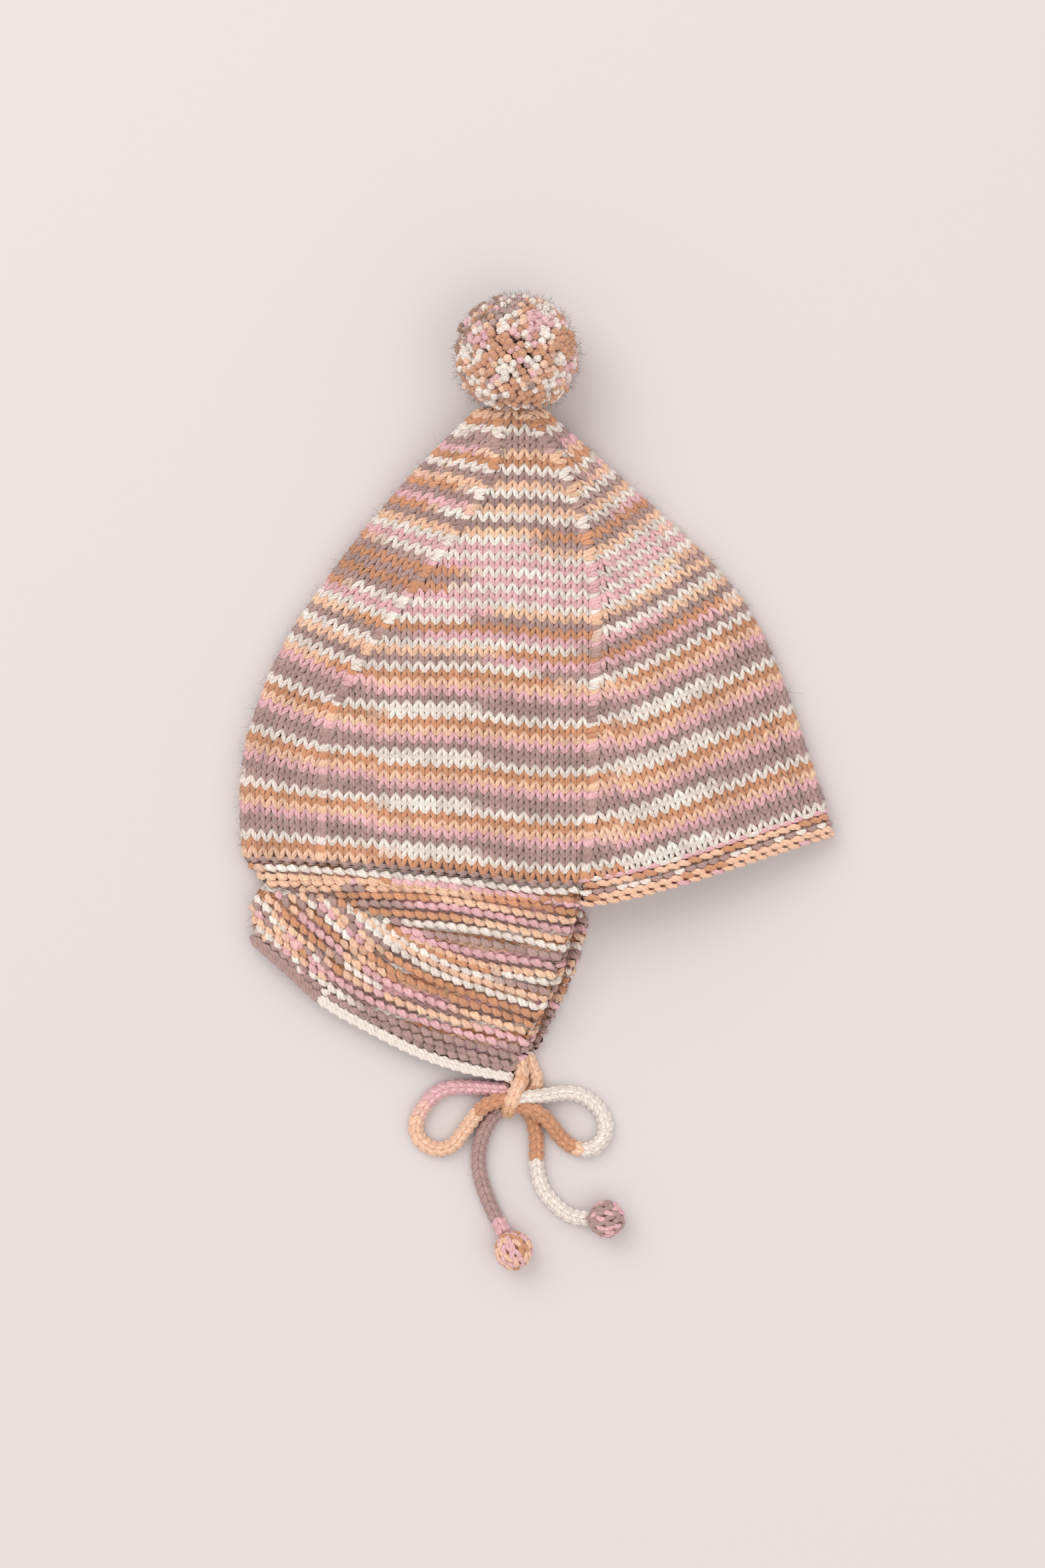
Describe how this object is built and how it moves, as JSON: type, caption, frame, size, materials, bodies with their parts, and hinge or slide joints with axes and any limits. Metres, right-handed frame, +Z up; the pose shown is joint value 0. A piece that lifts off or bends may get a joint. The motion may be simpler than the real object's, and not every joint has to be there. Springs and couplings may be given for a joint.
{
  "type": "pointed knit hat",
  "caption": "Child's pointed knit hat with pompom, garter ear flaps, edged brow and a corded bow tie, lying flat on its side.",
  "frame": {"origin": "middle of what the hat's body covers on the table, at the table's surface, without the ties", "axes": "+Y towards the pompom, +X towards the brow, +Z up from the side that lies on the table"},
  "size_m": [0.2236, 0.3658, 0.0418],
  "materials": {
    "crown": "plain knit wool, space dyed in cream, caramel, peach, pink and mauve",
    "brow_edge": "purl ridge and chain edging in peach and caramel wool",
    "neck_flap": "garter stitch wool in mixed stripes",
    "neck_edge": "chained bind-off, mostly cream wool",
    "pompom": "cut wool ends in every colour of the yarn",
    "tie_cord": "round knitted cord of wool",
    "end_ball": "small knitted wool ball"
  },
  "bodies": {
    "root": {"crown": "crown", "brow_edge": "brow_edge", "neck_flap": "neck_flap", "neck_edge": "neck_edge", "pompom": "pompom", "bow_knot": "tie_cord", "bow_loop_left": "tie_cord", "bow_loop_right": "tie_cord", "tie_tail_left": "tie_cord", "tie_tail_right": "tie_cord", "end_ball_left": "end_ball", "end_ball_right": "end_ball"}
  },
  "joints": []
}
